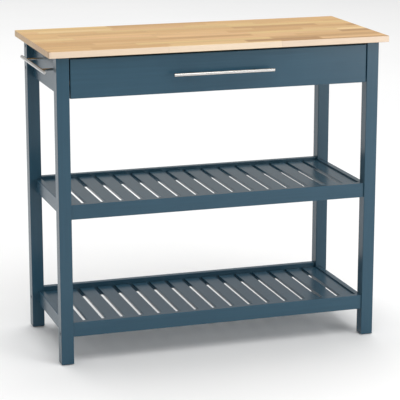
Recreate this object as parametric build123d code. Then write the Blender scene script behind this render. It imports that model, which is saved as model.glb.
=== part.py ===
from build123d import *
import os

# Kitchen island cart, in millimetres, +Z up, front towards -Y.
# It is drawn with X = 0 and Y = 0 under the middle of the worktop and Z = 0 on the floor,
# and every piece is moved at the end, so that the origin is under the middle of the whole cart.

# ---- driving dimensions ----

# worktop and overall height
worktop_length = 1000.0
worktop_depth = 440.0
worktop_thick = 18.0
worktop_height = 900.0
worktop_edge_round = 1.6
worktop_corner_round = 3.0
side_overhang = 24.0
front_overhang = 18.0
back_overhang = 14.0

# legs and their glides
leg_size = 36.0
leg_round = 1.6
glide_dia = 20.0
glide_height = 3.0
glide_round = 1.0
glide_nail_dia = 3.0
glide_nail_length = 12.0

# boards that join the legs
board_thick = 18.0
board_round = 1.2
back_inset = 9.0
shelf_front_inset = 5.0
apron_height = 114.0
stretcher_width = 60.0

# shelves
rail_height = 42.0
lower_rail_bottom = 81.0
mid_rail_bottom = 423.0
side_rail_height = 40.0
side_rail_thick = 16.0
lower_side_rail_drop = 9.0
mid_side_rail_drop = 4.0
slat_count = 16
slat_width = 43.0
slat_thick = 8.0
slat_drop = 4.5
slat_engage = 8.0
slat_round = 1.0
slat_clearance = 0.3

# drawer
drawer_front_height = 110.0
drawer_front_round = 2.0
drawer_gap = 3.0
drawer_top_gap = 6.5
drawer_side_thick = 15.0
drawer_side_lift = 10.5
drawer_top_clearance = 2.0
drawer_back_clearance = 15.0
drawer_back_thick = 12.0
drawer_bottom_thick = 5.0
drawer_bottom_lift = 6.0
panel_groove = 6.0
runner_width = 10.0
runner_height = 14.0
runner_lift = 23.0
runner_clearance = 0.5
stretcher_clearance = 3.0

# bar handles: the drawer pull and the towel bar
bar_dia = 10.0
bar_length = 296.0
bar_edge = 0.8
pull_standoff = 25.0
towel_standoff = 37.0
post_dia = 7.0
post_spacing = 192.0
towel_bar_drop = 50.0

# handle screws, M4 with a pan head
screw_dia = 4.0
screw_head_dia = 8.5
screw_head_height = 2.4
screw_reach = 14.0
screw_cross_width = 1.2
screw_cross_length = 4.6
screw_cross_depth = 1.4
screw_hole_clearance = 0.3
screw_head_clearance = 0.5
towel_counterbore = 3.0

# frame bolts, M6 with a socket head
bolt_dia = 6.0
bolt_head_dia = 10.0
bolt_head_height = 6.0
bolt_head_sink = 0.6
bolt_length = 58.0
bolt_socket_flats = 5.0
bolt_socket_depth = 3.0
bolt_clearance = 0.15
lower_bolt_drop = 10.0
apron_bolt_edge = 25.0

# ---- places worked out from them ----

worktop_under = worktop_height - worktop_thick
leg_outer_x = worktop_length / 2 - side_overhang
leg_inner_x = leg_outer_x - leg_size
leg_front_y = -worktop_depth / 2 + front_overhang
leg_back_y = worktop_depth / 2 - back_overhang
frame_middle_y = (leg_front_y + leg_back_y) / 2

# the boards at the sides are flush with the inner faces of the legs
apron_outer_x = leg_inner_x + board_thick
side_rail_outer_x = leg_inner_x + side_rail_thick
back_board_y = (leg_back_y - back_inset - board_thick, leg_back_y - back_inset)
front_rail_y = (leg_front_y + shelf_front_inset, leg_front_y + shelf_front_inset + board_thick)
side_board_y = (leg_front_y + leg_size, leg_back_y - leg_size)
between_legs_x = (-leg_inner_x, leg_inner_x)
apron_z = (worktop_under - apron_height, worktop_under)

# each shelf: its front and back rails, then the top of its lower side rails
lower_rail_z = (lower_rail_bottom, lower_rail_bottom + rail_height)
mid_rail_z = (mid_rail_bottom, mid_rail_bottom + rail_height)
lower_side_top = lower_rail_z[1] - lower_side_rail_drop
mid_side_top = mid_rail_z[1] - mid_side_rail_drop

slat_field = 2 * (leg_inner_x - slat_clearance)
slat_pitch = (slat_field - slat_width) / (slat_count - 1)
slat_y = (front_rail_y[1] - slat_engage, back_board_y[0] + slat_engage)

drawer_front_x = (-leg_inner_x + drawer_gap, leg_inner_x - drawer_gap)
drawer_front_y = (leg_front_y, leg_front_y + board_thick)
drawer_front_top = worktop_under - drawer_top_gap
drawer_front_z = (drawer_front_top - drawer_front_height, drawer_front_top)
drawer_outer_x = leg_inner_x - drawer_gap
drawer_inner_x = drawer_outer_x - drawer_side_thick
stretcher_front_y = drawer_front_y[1] + stretcher_clearance
stretcher_y = (stretcher_front_y, stretcher_front_y + stretcher_width)
stretcher_z = (worktop_under - board_thick, worktop_under)
drawer_side_y = (drawer_front_y[1], back_board_y[0] - drawer_back_clearance)
drawer_side_z = (drawer_front_z[0] + drawer_side_lift, stretcher_z[0] - drawer_top_clearance)
drawer_back_y = (drawer_side_y[1] - drawer_back_thick, drawer_side_y[1])
runner_z = (drawer_side_z[0] + runner_lift, drawer_side_z[0] + runner_lift + runner_height)

pull_z = sum(drawer_front_z) / 2
pull_place = Pos(0, leg_front_y, pull_z)
towel_place = Pos(-apron_outer_x, frame_middle_y, worktop_under - towel_bar_drop) * Rot(0, 0, -90)
post_xs = (-post_spacing / 2, post_spacing / 2)

# middle of the whole cart, with the handles counted
cart_low_x = min(-worktop_length / 2, -apron_outer_x - towel_standoff - bar_dia / 2)
cart_low_y = min(-worktop_depth / 2, leg_front_y - pull_standoff - bar_dia / 2)
cart_middle = Pos(-(cart_low_x + worktop_length / 2) / 2, -(cart_low_y + worktop_depth / 2) / 2, 0)


# ---- helpers ----


def span_box(xs, ys, zs):
    """A box between the given low and high X, Y and Z."""
    size = Box(xs[1] - xs[0], ys[1] - ys[0], zs[1] - zs[0])
    return Pos(sum(xs) / 2, sum(ys) / 2, sum(zs) / 2) * size


def eased(solid, axis, radius):
    """The solid with its edges along one axis rounded."""
    return fillet(solid.edges().filter_by(axis), radius)


def rod(radius, start, end):
    """A round bar from one point to another."""
    start = Vector(*start)
    end = Vector(*end)
    plane = Plane(origin=(start + end) / 2, z_dir=end - start)
    return plane * Cylinder(radius, (end - start).length)


def write(name, *solids):
    """One STEP file for a piece, or for a group of pieces that share a node."""
    moved = [solid for shape in solids for solid in (cart_middle * shape).solids()]
    shape = moved[0] if len(moved) == 1 else Compound(moved)
    export_step(shape, f"parts/{name}.step")


# ---- frame bolts ----


def bolt_places():
    """Where each frame bolt starts: on a leg's outer face, with local +X pointing inwards."""
    rows = [(sum(front_rail_y) / 2, sum(lower_rail_z) / 2 - lower_bolt_drop)]
    rows.append((sum(back_board_y) / 2, sum(lower_rail_z) / 2 - lower_bolt_drop))
    rows.append((sum(back_board_y) / 2, apron_z[0] + apron_bolt_edge))
    rows.append((sum(back_board_y) / 2, apron_z[1] - apron_bolt_edge))
    left = [Pos(-leg_outer_x, y, z) for y, z in rows]
    right = [Pos(leg_outer_x, y, z) * Rot(0, 0, 180) for y, z in rows]
    return left + right


def frame_bolt():
    """One bolt along local X: a socket head let into the leg, and a plain shank."""
    head_end = bolt_head_sink + bolt_head_height
    head = rod(bolt_head_dia / 2, (bolt_head_sink, 0, 0), (head_end, 0, 0))
    shank = rod(bolt_dia / 2, (head_end, 0, 0), (bolt_length, 0, 0))
    socket_plane = Plane(origin=(bolt_head_sink, 0, 0), x_dir=(0, 1, 0), z_dir=(1, 0, 0))
    hexagon = RegularPolygon(bolt_socket_flats / 2, 6, major_radius=False)
    socket = extrude(socket_plane * hexagon, bolt_socket_depth)
    return head + shank - socket


def bolt_bore():
    """The stepped hole that one frame bolt goes into."""
    seat = bolt_head_sink + bolt_head_height
    counterbore = rod(bolt_head_dia / 2 + bolt_clearance, (0, 0, 0), (seat, 0, 0))
    hole = rod(bolt_dia / 2 + bolt_clearance, (0, 0, 0), (bolt_length + bolt_clearance, 0, 0))
    return counterbore + hole


def bored(solid):
    """The solid with every frame bolt's hole cut through it."""
    for place in bolt_places():
        solid = solid - place * bolt_bore()
    return solid


# ---- bar handles: along X, standing out towards -Y from a board whose face is at Y = 0 ----


def handle_bar(standoff):
    """The round bar, with small chamfers at its ends."""
    bar = rod(bar_dia / 2, (-bar_length / 2, -standoff, 0), (bar_length / 2, -standoff, 0))
    return chamfer(bar.edges().filter_by(GeomType.CIRCLE), bar_edge)


def handle_posts(standoff):
    """The two posts, shaped to the bar and tapped for their screws."""
    posts = []
    for x in post_xs:
        post = rod(post_dia / 2, (x, 0, 0), (x, -standoff, 0)) - handle_bar(standoff)
        posts.append(post - rod(screw_dia / 2, (x, 0, 0), (x, -screw_reach, 0)))
    return posts


def handle_screws(seat):
    """The two screws of a handle, whose heads seat that far behind the board's face."""
    screws = []
    for x in post_xs:
        top = seat + screw_head_height
        shank = rod(screw_dia / 2, (x, seat, 0), (x, -screw_reach, 0))
        head = rod(screw_head_dia / 2, (x, seat, 0), (x, top, 0))
        head = fillet(head.faces().sort_by(Axis.Y)[-1].edges(), screw_head_height / 2)
        deep = (top - screw_cross_depth, top)
        half_width = screw_cross_width / 2
        half_length = screw_cross_length / 2
        upright = span_box((x - half_width, x + half_width), deep, (-half_length, half_length))
        level = span_box((x - half_length, x + half_length), deep, (-half_width, half_width))
        screws.append(shank + head - upright - level)
    return screws


def handle_holes(seat):
    """The holes in a board for one handle's screws, with a counterbore behind the seat."""
    holes = []
    for x in post_xs:
        holes.append(rod(screw_dia / 2 + screw_hole_clearance, (x, 0, 0), (x, board_thick, 0)))
        if seat < board_thick:
            radius = screw_head_dia / 2 + screw_head_clearance
            holes.append(rod(radius, (x, seat, 0), (x, board_thick, 0)))
    return holes


# ---- worktop and frame ----


def worktop():
    """The solid wood top, with rounded corners and eased edges."""
    half_length = worktop_length / 2
    half_depth = worktop_depth / 2
    top = span_box((-half_length, half_length), (-half_depth, half_depth), (worktop_under, worktop_height))
    top = eased(top, Axis.Z, worktop_corner_round)
    level_edges = top.faces().sort_by(Axis.Z)[-1].edges() + top.faces().sort_by(Axis.Z)[0].edges()
    return fillet(level_edges, worktop_edge_round)


def glide_at(x, y):
    """One nail-on glide: a round pad below the leg and its nail up into it."""
    pad = rod(glide_dia / 2, (x, y, 0), (x, y, glide_height))
    pad = fillet(pad.faces().sort_by(Axis.Z)[0].edges(), glide_round)
    return pad + rod(glide_nail_dia / 2, (x, y, glide_height), (x, y, glide_height + glide_nail_length))


def leg_centres():
    """Name of each leg, with the middle of its section."""
    xs = {"left": -(leg_outer_x - leg_size / 2), "right": leg_outer_x - leg_size / 2}
    ys = {"front": leg_front_y + leg_size / 2, "back": leg_back_y - leg_size / 2}
    return {f"leg_{end}_{side}": (xs[side], ys[end]) for end in ys for side in xs}


def leg(x, y):
    """One square leg, from the top of its glide to the underside of the worktop."""
    half = leg_size / 2
    post = span_box((x - half, x + half), (y - half, y + half), (glide_height, worktop_under))
    post = eased(post, Axis.Z, leg_round)
    nail_top = glide_height + glide_nail_length
    post = post - rod(glide_nail_dia / 2, (x, y, glide_height), (x, y, nail_top))
    return bored(post)


def side_board(side, outer_x, zs):
    """A board between a front and a back leg; side is -1 on the left and 1 on the right."""
    xs = sorted((side * leg_inner_x, side * outer_x))
    return eased(span_box(xs, side_board_y, zs), Axis.Y, board_round)


def long_board(ys, zs):
    """A board between a left and a right leg."""
    return bored(eased(span_box(between_legs_x, ys, zs), Axis.X, board_round))


def apron_left():
    """The left apron, which carries the towel bar."""
    board = side_board(-1, apron_outer_x, apron_z)
    for hole in handle_holes(board_thick - towel_counterbore):
        board = board - towel_place * hole
    return board


# ---- shelves ----


def slat_xs():
    """The middle of each slat, left to right."""
    first = -(slat_field - slat_width) / 2
    return [first + i * slat_pitch for i in range(slat_count)]


def slat(x, slat_top):
    """One slat, front to back, with its ends let into the rails."""
    half = slat_width / 2
    return eased(span_box((x - half, x + half), slat_y, (slat_top - slat_thick, slat_top)), Axis.Y, slat_round)


def slotted_rail(ys, zs, slat_top):
    """A front or back shelf rail with a pocket for the end of each slat."""
    half = slat_width / 2 + slat_clearance / 2
    pocket_z = (slat_top - slat_thick, slat_top + slat_clearance)
    pockets = [span_box((x - half, x + half), slat_y, pocket_z) for x in slat_xs()]
    return long_board(ys, zs) - pockets


# ---- drawer ----


def drawer_bottom():
    """The thin panel that sits in grooves in the drawer's front, sides and back."""
    xs = (-drawer_inner_x - panel_groove, drawer_inner_x + panel_groove)
    ys = (drawer_side_y[0] - panel_groove, drawer_back_y[0] + panel_groove)
    low = drawer_side_z[0] + drawer_bottom_lift
    return span_box(xs, ys, (low, low + drawer_bottom_thick))


def drawer_front():
    """The painted front, flush with the legs, with its face edges rounded."""
    board = span_box(drawer_front_x, drawer_front_y, drawer_front_z)
    board = fillet(board.faces().sort_by(Axis.Y)[0].edges(), drawer_front_round)
    for hole in handle_holes(board_thick):
        board = board - pull_place * hole
    return board - drawer_bottom()


def runner(side):
    """The hardwood strip that one side of the drawer slides on."""
    xs = sorted((side * leg_inner_x, side * (leg_inner_x - runner_width)))
    return span_box(xs, (stretcher_y[0], back_board_y[0]), runner_z)


def drawer_side(side):
    """One side of the drawer, grooved outside for its runner and inside for the bottom."""
    board = span_box(sorted((side * drawer_inner_x, side * drawer_outer_x)), drawer_side_y, drawer_side_z)
    groove_x = sorted((side * drawer_outer_x, side * (leg_inner_x - runner_width - runner_clearance)))
    groove_z = (runner_z[0] - runner_clearance, runner_z[1] + runner_clearance)
    return board - span_box(groove_x, drawer_side_y, groove_z) - drawer_bottom()


def drawer_back():
    """The back of the drawer, between its sides."""
    return span_box((-drawer_inner_x, drawer_inner_x), drawer_back_y, drawer_side_z) - drawer_bottom()


# ---- write every node ----

os.makedirs("parts", exist_ok=True)

write("worktop", worktop())
for name, (x, y) in leg_centres().items():
    write(name, leg(x, y))
write("leg_glides", *[glide_at(x, y) for x, y in leg_centres().values()])

write("apron_left", apron_left())
write("apron_right", side_board(1, apron_outer_x, apron_z))
write("apron_back", long_board(back_board_y, apron_z))
write("front_stretcher", long_board(stretcher_y, stretcher_z))

shelves = {"mid": (mid_rail_z, mid_side_top), "lower": (lower_rail_z, lower_side_top)}
for shelf, (rail_z, side_top) in shelves.items():
    slat_top = side_top - slat_drop
    side_z = (side_top - side_rail_height, side_top)
    write(f"{shelf}_rail_front", slotted_rail(front_rail_y, rail_z, slat_top))
    write(f"{shelf}_rail_back", slotted_rail(back_board_y, rail_z, slat_top))
    write(f"{shelf}_rail_left", side_board(-1, side_rail_outer_x, side_z))
    write(f"{shelf}_rail_right", side_board(1, side_rail_outer_x, side_z))
    for number, x in enumerate(slat_xs(), start=1):
        write(f"{shelf}_slat_{number:02d}", slat(x, slat_top))

write("drawer_front", drawer_front())
write("drawer_side_left", drawer_side(-1))
write("drawer_side_right", drawer_side(1))
write("drawer_back", drawer_back())
write("drawer_bottom", drawer_bottom())
write("drawer_runners", runner(-1), runner(1))

pull = [handle_bar(pull_standoff), *handle_posts(pull_standoff)]
write("drawer_pull", *[pull_place * piece for piece in pull])
write("pull_screws", *[pull_place * screw for screw in handle_screws(board_thick)])
towel = [handle_bar(towel_standoff), *handle_posts(towel_standoff)]
write("towel_bar", *[towel_place * piece for piece in towel])

towel_screws = handle_screws(board_thick - towel_counterbore)
frame_bolts = [place * frame_bolt() for place in bolt_places()]
write("frame_screws", *frame_bolts, *[towel_place * screw for screw in towel_screws])
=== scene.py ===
import math

import bmesh
import bpy
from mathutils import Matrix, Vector


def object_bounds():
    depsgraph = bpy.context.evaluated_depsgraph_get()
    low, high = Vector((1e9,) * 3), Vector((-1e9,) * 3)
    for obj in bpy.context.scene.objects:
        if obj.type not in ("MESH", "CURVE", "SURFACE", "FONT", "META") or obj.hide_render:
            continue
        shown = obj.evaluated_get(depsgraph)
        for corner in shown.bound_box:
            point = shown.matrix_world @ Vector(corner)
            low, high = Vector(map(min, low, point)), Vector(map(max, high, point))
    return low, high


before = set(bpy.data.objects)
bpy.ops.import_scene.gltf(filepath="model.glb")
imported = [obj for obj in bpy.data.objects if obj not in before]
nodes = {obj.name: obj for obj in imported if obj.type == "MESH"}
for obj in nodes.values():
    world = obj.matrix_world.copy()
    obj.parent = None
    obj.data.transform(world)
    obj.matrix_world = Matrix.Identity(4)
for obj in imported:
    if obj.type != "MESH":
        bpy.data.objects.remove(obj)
cad_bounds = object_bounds()

# ---- shader graph helper ----

# most of a noise texture's values lie between these two
NOISE_RANGE = (0.3, 0.7)


def along(axis, lengthwise, across):
    """A scale that stretches a texture along one axis."""
    return tuple(lengthwise if name == axis else across for name in "xyz")


class Graph:
    """One material's node tree, ending in a Principled shader."""

    def __init__(self, name, metallic=0.0, specular=0.5):
        self.material = bpy.data.materials.new(name)
        self.material.use_nodes = True
        self.tree = self.material.node_tree
        self.tree.nodes.clear()
        self.shader = self.add("ShaderNodeBsdfPrincipled")
        self.shader.inputs["Metallic"].default_value = metallic
        self.shader.inputs["Specular IOR Level"].default_value = specular
        output = self.add("ShaderNodeOutputMaterial")
        self.tree.links.new(self.shader.outputs[0], output.inputs[0])
        self.coords = self.add("ShaderNodeTexCoord")
        self.place = self.coords.outputs["Object"]

    def add(self, kind, inputs=None, **settings):
        """A node with its settings, and values or sockets for its inputs."""
        node = self.tree.nodes.new(kind)
        for name, value in settings.items():
            setattr(node, name, value)
        for name, value in (inputs or {}).items():
            self.feed(node.inputs[name], value)
        return node

    def feed(self, socket, value):
        """Links a socket, or sets a plain value."""
        if isinstance(value, bpy.types.NodeSocket):
            self.tree.links.new(value, socket)
        else:
            socket.default_value = value

    def math(self, operation, *values):
        """A Math node's result."""
        return self.add("ShaderNodeMath", dict(enumerate(values)), operation=operation).outputs[0]

    def split(self, vector):
        """The X, Y and Z of a vector."""
        return list(self.add("ShaderNodeSeparateXYZ", {0: vector}).outputs)

    def join(self, x, y, z):
        """A vector from X, Y and Z."""
        return self.add("ShaderNodeCombineXYZ", {0: x, 1: y, 2: z}).outputs[0]

    def scaled(self, vector, scale):
        """A vector multiplied axis by axis."""
        return self.add("ShaderNodeVectorMath", {0: vector, 1: scale}, operation="MULTIPLY").outputs[0]

    def shifted(self, vector, step):
        """A vector moved by another."""
        return self.add("ShaderNodeVectorMath", {0: vector, 1: step}, operation="ADD").outputs[0]

    def noise(self, vector, scale, detail, roughness=0.55, distortion=0.0):
        """Noise from 0 to 1, about 0.5."""
        inputs = {"Vector": vector, "Scale": scale, "Detail": detail}
        inputs.update({"Roughness": roughness, "Distortion": distortion})
        return self.add("ShaderNodeTexNoise", inputs).outputs[0]

    def grain(self, vector, axis, lengthwise, across, **character):
        """Noise with one scale along an axis and another across it."""
        stretched = self.scaled(vector, along(axis, lengthwise, across))
        return self.noise(stretched, scale=1.0, **character)

    def random(self, *seeds):
        """A random number from 0 to 1, always the same one for the same three seeds."""
        inputs = {"Vector": self.join(*seeds)}
        return self.add("ShaderNodeTexWhiteNoise", inputs, noise_dimensions="3D").outputs[0]

    def span(self, value, from_low, from_high, to_low, to_high):
        """A value mapped from one range to another and held at the ends."""
        inputs = {0: value, 1: from_low, 2: from_high, 3: to_low, 4: to_high}
        return self.add("ShaderNodeMapRange", inputs).outputs[0]

    def vary(self, noise, low, high):
        """A noise mapped to the range from low to high."""
        return self.span(noise, *NOISE_RANGE, low, high)

    def rise(self, value, start, end, top=1.0):
        """0 up to a start value, then growing to the top at an end value."""
        return self.span(value, start, end, 0.0, top)

    def fall(self, value, start, end, top=1.0):
        """The top up to a start value, then falling to 0 at an end value."""
        return self.span(value, start, end, top, 0.0)

    def ramp(self, value, stops):
        """A colour read off a ramp of (place, colour)."""
        node = self.add("ShaderNodeValToRGB", {0: value})
        while len(node.color_ramp.elements) < len(stops):
            node.color_ramp.elements.new(1.0)
        for element, (place, colour) in zip(node.color_ramp.elements, stops):
            element.position = place
            element.color = (*colour, 1.0)
        return node.outputs[0]

    def mix(self, factor, a, b, blend="MIX"):
        """Two colours mixed."""
        values = [(*v, 1.0) if isinstance(v, tuple) else v for v in (a, b)]
        inputs = {0: factor, 6: values[0], 7: values[1]}
        return self.add("ShaderNodeMix", inputs, data_type="RGBA", blend_type=blend).outputs[2]

    def shade(self, colour, amount):
        """A colour made lighter or darker by a number."""
        return self.mix(1.0, colour, self.join(amount, amount, amount), "MULTIPLY")

    def bump(self, height, distance, strength):
        """Puts a height, in units of distance in metres, on the shader's normal."""
        inputs = {"Height": height, "Distance": distance, "Strength": strength}
        self.feed(self.shader.inputs["Normal"], self.add("ShaderNodeBump", inputs).outputs[0])

    def finish(self, colour, roughness):
        """Links the shader's colour and roughness and gives the material back."""
        self.feed(self.shader.inputs["Base Color"], colour)
        self.feed(self.shader.inputs["Roughness"], roughness)
        return self.material


# ---- worktop, with lengths in metres ----

STAVE_WIDTH = 0.0367
STAVES_BEFORE_BOX = 0.3  # how much of the first stave would lie in front of the CAD box
STAVE_LENGTHS = (0.22, 0.44)
ROW_START_SPREAD = 4.0
FINGER_PITCH = 0.009
FINGER_LENGTH = 0.006
SIDE_TURN = (0.45, 0.8)  # how far a face turns to one side as it takes that side's colour

STAVE_COLOURS = [
    (0.00, (0.365, 0.195, 0.068)),
    (0.12, (0.500, 0.285, 0.108)),
    (0.38, (0.590, 0.365, 0.148)),
    (0.62, (0.620, 0.372, 0.168)),
    (0.82, (0.608, 0.408, 0.162)),
    (1.00, (0.705, 0.490, 0.240)),
]
STREAK_BROWN = (0.350, 0.185, 0.065)
KNOT_BROWN = (0.150, 0.072, 0.028)
# painted highlight: the paler colour given to the worktop's front and back edges, as if lit
PAINTED_EDGE_HIGHLIGHT = (0.770, 0.645, 0.520)
PALE_END_GRAIN = (0.640, 0.480, 0.340)

GLUE_BROWN = (0.260, 0.145, 0.065)
GLUE_STRENGTH = 0.30
GLUE_SIDE_REACH = 0.022  # in widths of a stave
GLUE_END_REACH = 0.0009


def staves(g):
    """Each point's place across and along the worktop, counted in staves, and its stave's length."""
    x, y, _ = g.split(g.place)
    first_row = cad_bounds[0].y - STAVE_WIDTH * STAVES_BEFORE_BOX
    rows = g.math("DIVIDE", g.math("SUBTRACT", y, first_row), STAVE_WIDTH)
    row = g.math("FLOOR", rows)
    row_start = g.math("MULTIPLY", g.random(row, 3.0, 1.0), ROW_START_SPREAD)
    length = g.span(g.random(row, 7.0, 2.0), 0.0, 1.0, *STAVE_LENGTHS)
    finger = g.math("PINGPONG", g.math("DIVIDE", y, FINGER_PITCH), 0.5)
    finger = g.math("MULTIPLY", finger, FINGER_LENGTH * 2)
    along_row = g.math("ADD", g.math("ADD", x, finger), row_start)
    return rows, g.math("DIVIDE", along_row, length), length


def streaks_and_knots(g, colour, board):
    """Brown streaks along the grain, and a few small knots."""
    streaks = g.grain(board, "x", 5.0, 120.0, detail=3.0, roughness=0.6, distortion=1.2)
    colour = g.mix(g.rise(streaks, 0.62, 0.78, top=0.55), colour, STREAK_BROWN)
    cells = g.scaled(board, along("x", 5.0, 11.0))
    knots = g.add("ShaderNodeTexVoronoi", {"Vector": cells, "Scale": 1.0})
    rare = g.math("GREATER_THAN", g.split(knots.outputs["Color"])[0], 0.72)
    knot = g.math("MULTIPLY", g.fall(knots.outputs["Distance"], 0.010, 0.032, top=0.75), rare)
    return g.mix(knot, colour, KNOT_BROWN)


def worktop_sides(g, colour, board, fibre):
    """Long grain on the front and back edges painted paler as a painted highlight, as if lit from the
    front, and end grain on the left and right.
    """
    facing = [g.math("ABSOLUTE", part) for part in g.split(g.coords.outputs["Normal"])]
    # painted highlight: the front and back edges are mixed towards a paler colour, as if lit
    painted_lit_side = g.shade(g.mix(0.22, PAINTED_EDGE_HIGHLIGHT, colour), g.vary(fibre, 0.95, 1.03))
    ends = g.grain(board, "x", 40.0, 420.0, detail=4.0, roughness=0.6, distortion=1.5)
    end_side = g.mix(g.vary(ends, 0.25, 0.6), PALE_END_GRAIN, colour)
    colour = g.mix(g.rise(facing[1], *SIDE_TURN), colour, painted_lit_side)
    return g.mix(g.rise(facing[0], *SIDE_TURN), colour, end_side)


def glue_lines(g, rows, pieces, stave_length):
    """1 on the glue lines between staves and at the finger joints, and 0 away from them."""
    side_line = g.fall(g.math("PINGPONG", rows, 0.5), 0.0, GLUE_SIDE_REACH)
    from_end = g.math("MULTIPLY", g.math("PINGPONG", pieces, 0.5), stave_length)
    return g.math("MAXIMUM", side_line, g.fall(from_end, 0.0, GLUE_END_REACH))


def worktop_wood():
    """Glued staves of pale hardwood, finger-jointed end to end, under satin oil."""
    g = Graph("worktop_wood", specular=0.25)
    rows, pieces, stave_length = staves(g)
    row = g.math("FLOOR", rows)
    piece = g.math("FLOOR", pieces)
    tone = g.random(row, piece, 5.0)
    second = g.random(row, piece, 9.0)

    # each stave has its own tone and its own place in the grain
    step = g.join(g.math("MULTIPLY", tone, 9.0), g.math("MULTIPLY", second, 5.0), second)
    board = g.shifted(g.place, step)
    wave = g.grain(board, "x", 2.6, 26.0, detail=2.0, roughness=0.5, distortion=0.9)
    fibre = g.grain(board, "x", 14.0, 420.0, detail=4.0, roughness=0.62, distortion=0.4)
    pore = g.rise(g.grain(board, "x", 60.0, 1500.0, detail=2.0, roughness=0.5), 0.60, 0.72)
    shade = g.math("MULTIPLY", g.span(wave, 0.25, 0.75, 0.86, 1.09), g.vary(fibre, 0.93, 1.05))
    shade = g.math("MULTIPLY", shade, g.span(pore, 0.0, 1.0, 1.0, 0.90))
    colour = g.shade(g.ramp(tone, STAVE_COLOURS), shade)
    colour = streaks_and_knots(g, colour, board)
    colour = worktop_sides(g, colour, board, fibre)
    line = glue_lines(g, rows, pieces, stave_length)
    colour = g.mix(g.math("MULTIPLY", line, GLUE_STRENGTH), colour, GLUE_BROWN)

    # glue lines and pores lie lower than the fibres
    height = g.math("SUBTRACT", g.math("MULTIPLY", fibre, 0.5), g.math("MULTIPLY", line, 0.8))
    height = g.math("SUBTRACT", height, g.math("MULTIPLY", pore, 0.5))
    g.bump(height, distance=0.00025, strength=0.55)
    roughness = g.math("ADD", g.vary(fibre, 0.40, 0.50), g.math("MULTIPLY", pore, 0.12))
    return g.finish(colour, roughness)


# ---- paint, drawer wood, metal and plastic ----

SLATE_BLUE = [(0.30, (0.0200, 0.0625, 0.0975)), (0.70, (0.0240, 0.0710, 0.1080))]
BOX_WOOD = [(0.28, (0.55, 0.37, 0.20)), (0.72, (0.66, 0.49, 0.30))]
BOX_PLYWOOD = [(0.28, (0.62, 0.46, 0.28)), (0.72, (0.70, 0.56, 0.38))]
NICKEL = [(0.30, (0.520, 0.512, 0.492)), (0.70, (0.640, 0.633, 0.615))]
ZINC = [(0.30, (0.42, 0.43, 0.44)), (0.70, (0.60, 0.60, 0.60))]
BLACK_STEEL = [(0.30, (0.012, 0.012, 0.013)), (0.70, (0.030, 0.030, 0.032))]
GLIDE_BLACK = (0.020, 0.018, 0.017)
DUST_GREY = (0.150, 0.140, 0.125)
DUST_HEIGHT = 0.0022


def paint(axis):
    """Slate-blue paint over wood whose grain runs along one axis and shows through faintly."""
    g = Graph(f"paint_{axis}", specular=0.34)
    cloud = g.noise(g.place, 3.5, detail=3.0)
    grain = g.grain(g.place, axis, 5.0, 150.0, detail=4.0, roughness=0.6, distortion=0.5)
    peel = g.noise(g.place, 900.0, detail=2.0, roughness=0.5)
    colour = g.shade(g.ramp(cloud, SLATE_BLUE), g.vary(grain, 0.94, 1.05))
    height = g.math("ADD", g.math("MULTIPLY", grain, 0.8), g.math("MULTIPLY", peel, 0.35))
    g.bump(height, distance=0.00004, strength=0.15)
    return g.finish(colour, g.span(grain, 0.25, 0.75, 0.23, 0.27))


def clear_wood(name, axis, tones):
    """Pale clear-lacquered wood or plywood for the drawer box and its runners."""
    g = Graph(name, specular=0.4)
    band = g.grain(g.place, axis, 2.2, 38.0, detail=3.0, distortion=1.1)
    fibre = g.grain(g.place, axis, 16.0, 480.0, detail=3.0, roughness=0.6)
    colour = g.shade(g.ramp(band, tones), g.vary(fibre, 0.93, 1.05))
    g.bump(fibre, distance=0.00015, strength=0.5)
    return g.finish(colour, g.vary(fibre, 0.44, 0.56))


def brushed_nickel(name, axis):
    """Brushed nickel bar: fine lines round the bar, and a soft variation in its tone."""
    g = Graph(name, metallic=1.0)
    lines = g.grain(g.place, axis, 2600.0, 60.0, detail=3.0, roughness=0.6)
    cloud = g.noise(g.place, 28.0, detail=3.0)
    colour = g.shade(g.ramp(lines, NICKEL), g.vary(cloud, 0.96, 1.03))
    g.bump(lines, distance=0.00002, strength=0.3)
    return g.finish(colour, g.vary(lines, 0.22, 0.28))


def plated_steel(name, tones, smooth, rough):
    """Plated or blackened screw steel with faint marks and smudges."""
    g = Graph(name, metallic=1.0)
    marks = g.noise(g.place, 1400.0, detail=3.0, roughness=0.6)
    smudge = g.noise(g.place, 160.0, detail=3.0)
    g.bump(marks, distance=0.00003, strength=0.6)
    return g.finish(g.ramp(smudge, tones), g.vary(marks, smooth, rough))


def glide_plastic():
    """Matte dark plastic, with the fine grain of a moulding and dust at its foot."""
    g = Graph("glide_plastic", specular=0.4)
    grain = g.noise(g.place, 1800.0, detail=2.0, roughness=0.5)
    near_floor = g.fall(g.split(g.place)[2], 0.0, DUST_HEIGHT, top=0.6)
    dust = g.math("MULTIPLY", g.noise(g.place, 220.0, detail=3.0), near_floor)
    g.bump(grain, distance=0.00008, strength=0.6)
    return g.finish(g.mix(dust, GLIDE_BLACK, DUST_GREY), g.vary(grain, 0.52, 0.68))


# ---- which node wears what ----


def dress(material, *names):
    """Puts one material on CAD nodes."""
    for name in names:
        mesh = nodes[name].data
        mesh.materials.clear()
        mesh.materials.append(material)


def shelf_rails(*sides):
    """The names of the rails on some sides of both shelves."""
    return [f"{shelf}_rail_{side}" for shelf in ("mid", "lower") for side in sides]


slats = [name for name in nodes if "_slat_" in name]
legs = [name for name in nodes if name.startswith("leg_") and name != "leg_glides"]
box_sides = ["drawer_side_left", "drawer_side_right"]

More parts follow.
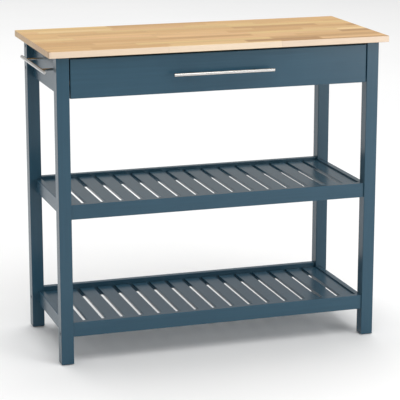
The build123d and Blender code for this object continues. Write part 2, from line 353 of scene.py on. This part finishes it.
dress(worktop_wood(), "worktop")
dress(paint("x"), "apron_back", "front_stretcher", "drawer_front", *shelf_rails("front", "back"))
dress(paint("y"), "apron_left", "apron_right", *shelf_rails("left", "right"), *slats)
dress(paint("z"), *legs)
dress(clear_wood("drawer_wood_y", "y", BOX_WOOD), "drawer_runners", *box_sides)
dress(clear_wood("drawer_wood_x", "x", BOX_WOOD), "drawer_back")
dress(clear_wood("drawer_ply", "x", BOX_PLYWOOD), "drawer_bottom")
dress(brushed_nickel("pull_nickel", "x"), "drawer_pull")
dress(brushed_nickel("towel_nickel", "y"), "towel_bar")
dress(plated_steel("zinc_steel", ZINC, smooth=0.26, rough=0.40), "pull_screws")
dress(plated_steel("black_steel", BLACK_STEEL, smooth=0.36, rough=0.52), "frame_screws")
dress(glide_plastic(), "leg_glides")

# ---- floor, light and camera ----

FLOOR_WHITE = [(0.30, (0.900, 0.900, 0.900)), (0.70, (0.915, 0.915, 0.912))]
SENSOR_WIDTH_MM = 36.0


def floor_material():
    """Plain pale studio floor."""
    g = Graph("studio_floor", specular=0.1)
    colour = g.ramp(g.noise(g.place, 1.2, detail=2.0), FLOOR_WHITE)
    return g.finish(colour, g.vary(g.noise(g.place, 60.0, detail=2.0), 0.85, 0.95))


def studio_floor(half_size):
    """One large flat sheet that the cart stands on."""
    mesh = bpy.data.meshes.new("studio_floor")
    made = bmesh.new()
    bmesh.ops.create_grid(made, x_segments=8, y_segments=8, size=half_size)
    made.to_mesh(mesh)
    made.free()
    mesh.materials.append(floor_material())
    floor = bpy.data.objects.new("studio_floor", mesh)
    bpy.context.scene.collection.objects.link(floor)


def look(thing, target):
    """Turns a light or the camera towards a point."""
    thing.rotation_euler = (Vector(target) - thing.location).to_track_quat("-Z", "Y").to_euler()


def softbox(name, place, target, size, power):
    """A large square white light that faces a point."""
    data = bpy.data.lights.new(name, "AREA")
    data.shape = "SQUARE"
    data.size = size
    data.energy = power
    light = bpy.data.objects.new(name, data)
    bpy.context.scene.collection.objects.link(light)
    light.location = place
    look(light, target)


def studio_world(strength):
    """Even white light from all round."""
    world = bpy.data.worlds.new("studio")
    world.use_nodes = True
    background = world.node_tree.nodes["Background"]
    background.inputs["Color"].default_value = (1.0, 1.0, 1.0, 1.0)
    background.inputs["Strength"].default_value = strength
    bpy.context.scene.world = world


def photo_camera(azimuth, elevation, distance, target, lens):
    """A long lens aimed at a point: azimuth 0 stands in front, and more stands further left."""
    a = math.radians(azimuth)
    e = math.radians(elevation)
    back = Vector((-math.sin(a) * math.cos(e), -math.cos(a) * math.cos(e), math.sin(e)))
    data = bpy.data.cameras.new("camera")
    data.lens = lens
    data.sensor_width = SENSOR_WIDTH_MM
    camera = bpy.data.objects.new("camera", data)
    bpy.context.scene.collection.objects.link(camera)
    camera.location = Vector(target) + back * distance
    look(camera, target)
    bpy.context.scene.camera = camera


studio_floor(half_size=40.0)
studio_world(strength=0.57)
softbox("key", place=(2.4, -3.1, 1.1), target=(0.1, 0.0, 0.6), size=1.8, power=45.0)
softbox("front", place=(0.2, -2.6, 4.2), target=(0.0, -0.3, 0.3), size=2.6, power=75.0)
softbox("overhead", place=(0.2, 4.0, 8.0), target=(0.2, 4.0, 0.0), size=7.0, power=400.0)
photo_camera(azimuth=17.9, elevation=13.76, distance=5.2, target=(-0.002, 0.0, 0.403), lens=158.0)
bpy.context.scene.view_settings.view_transform = "Standard"
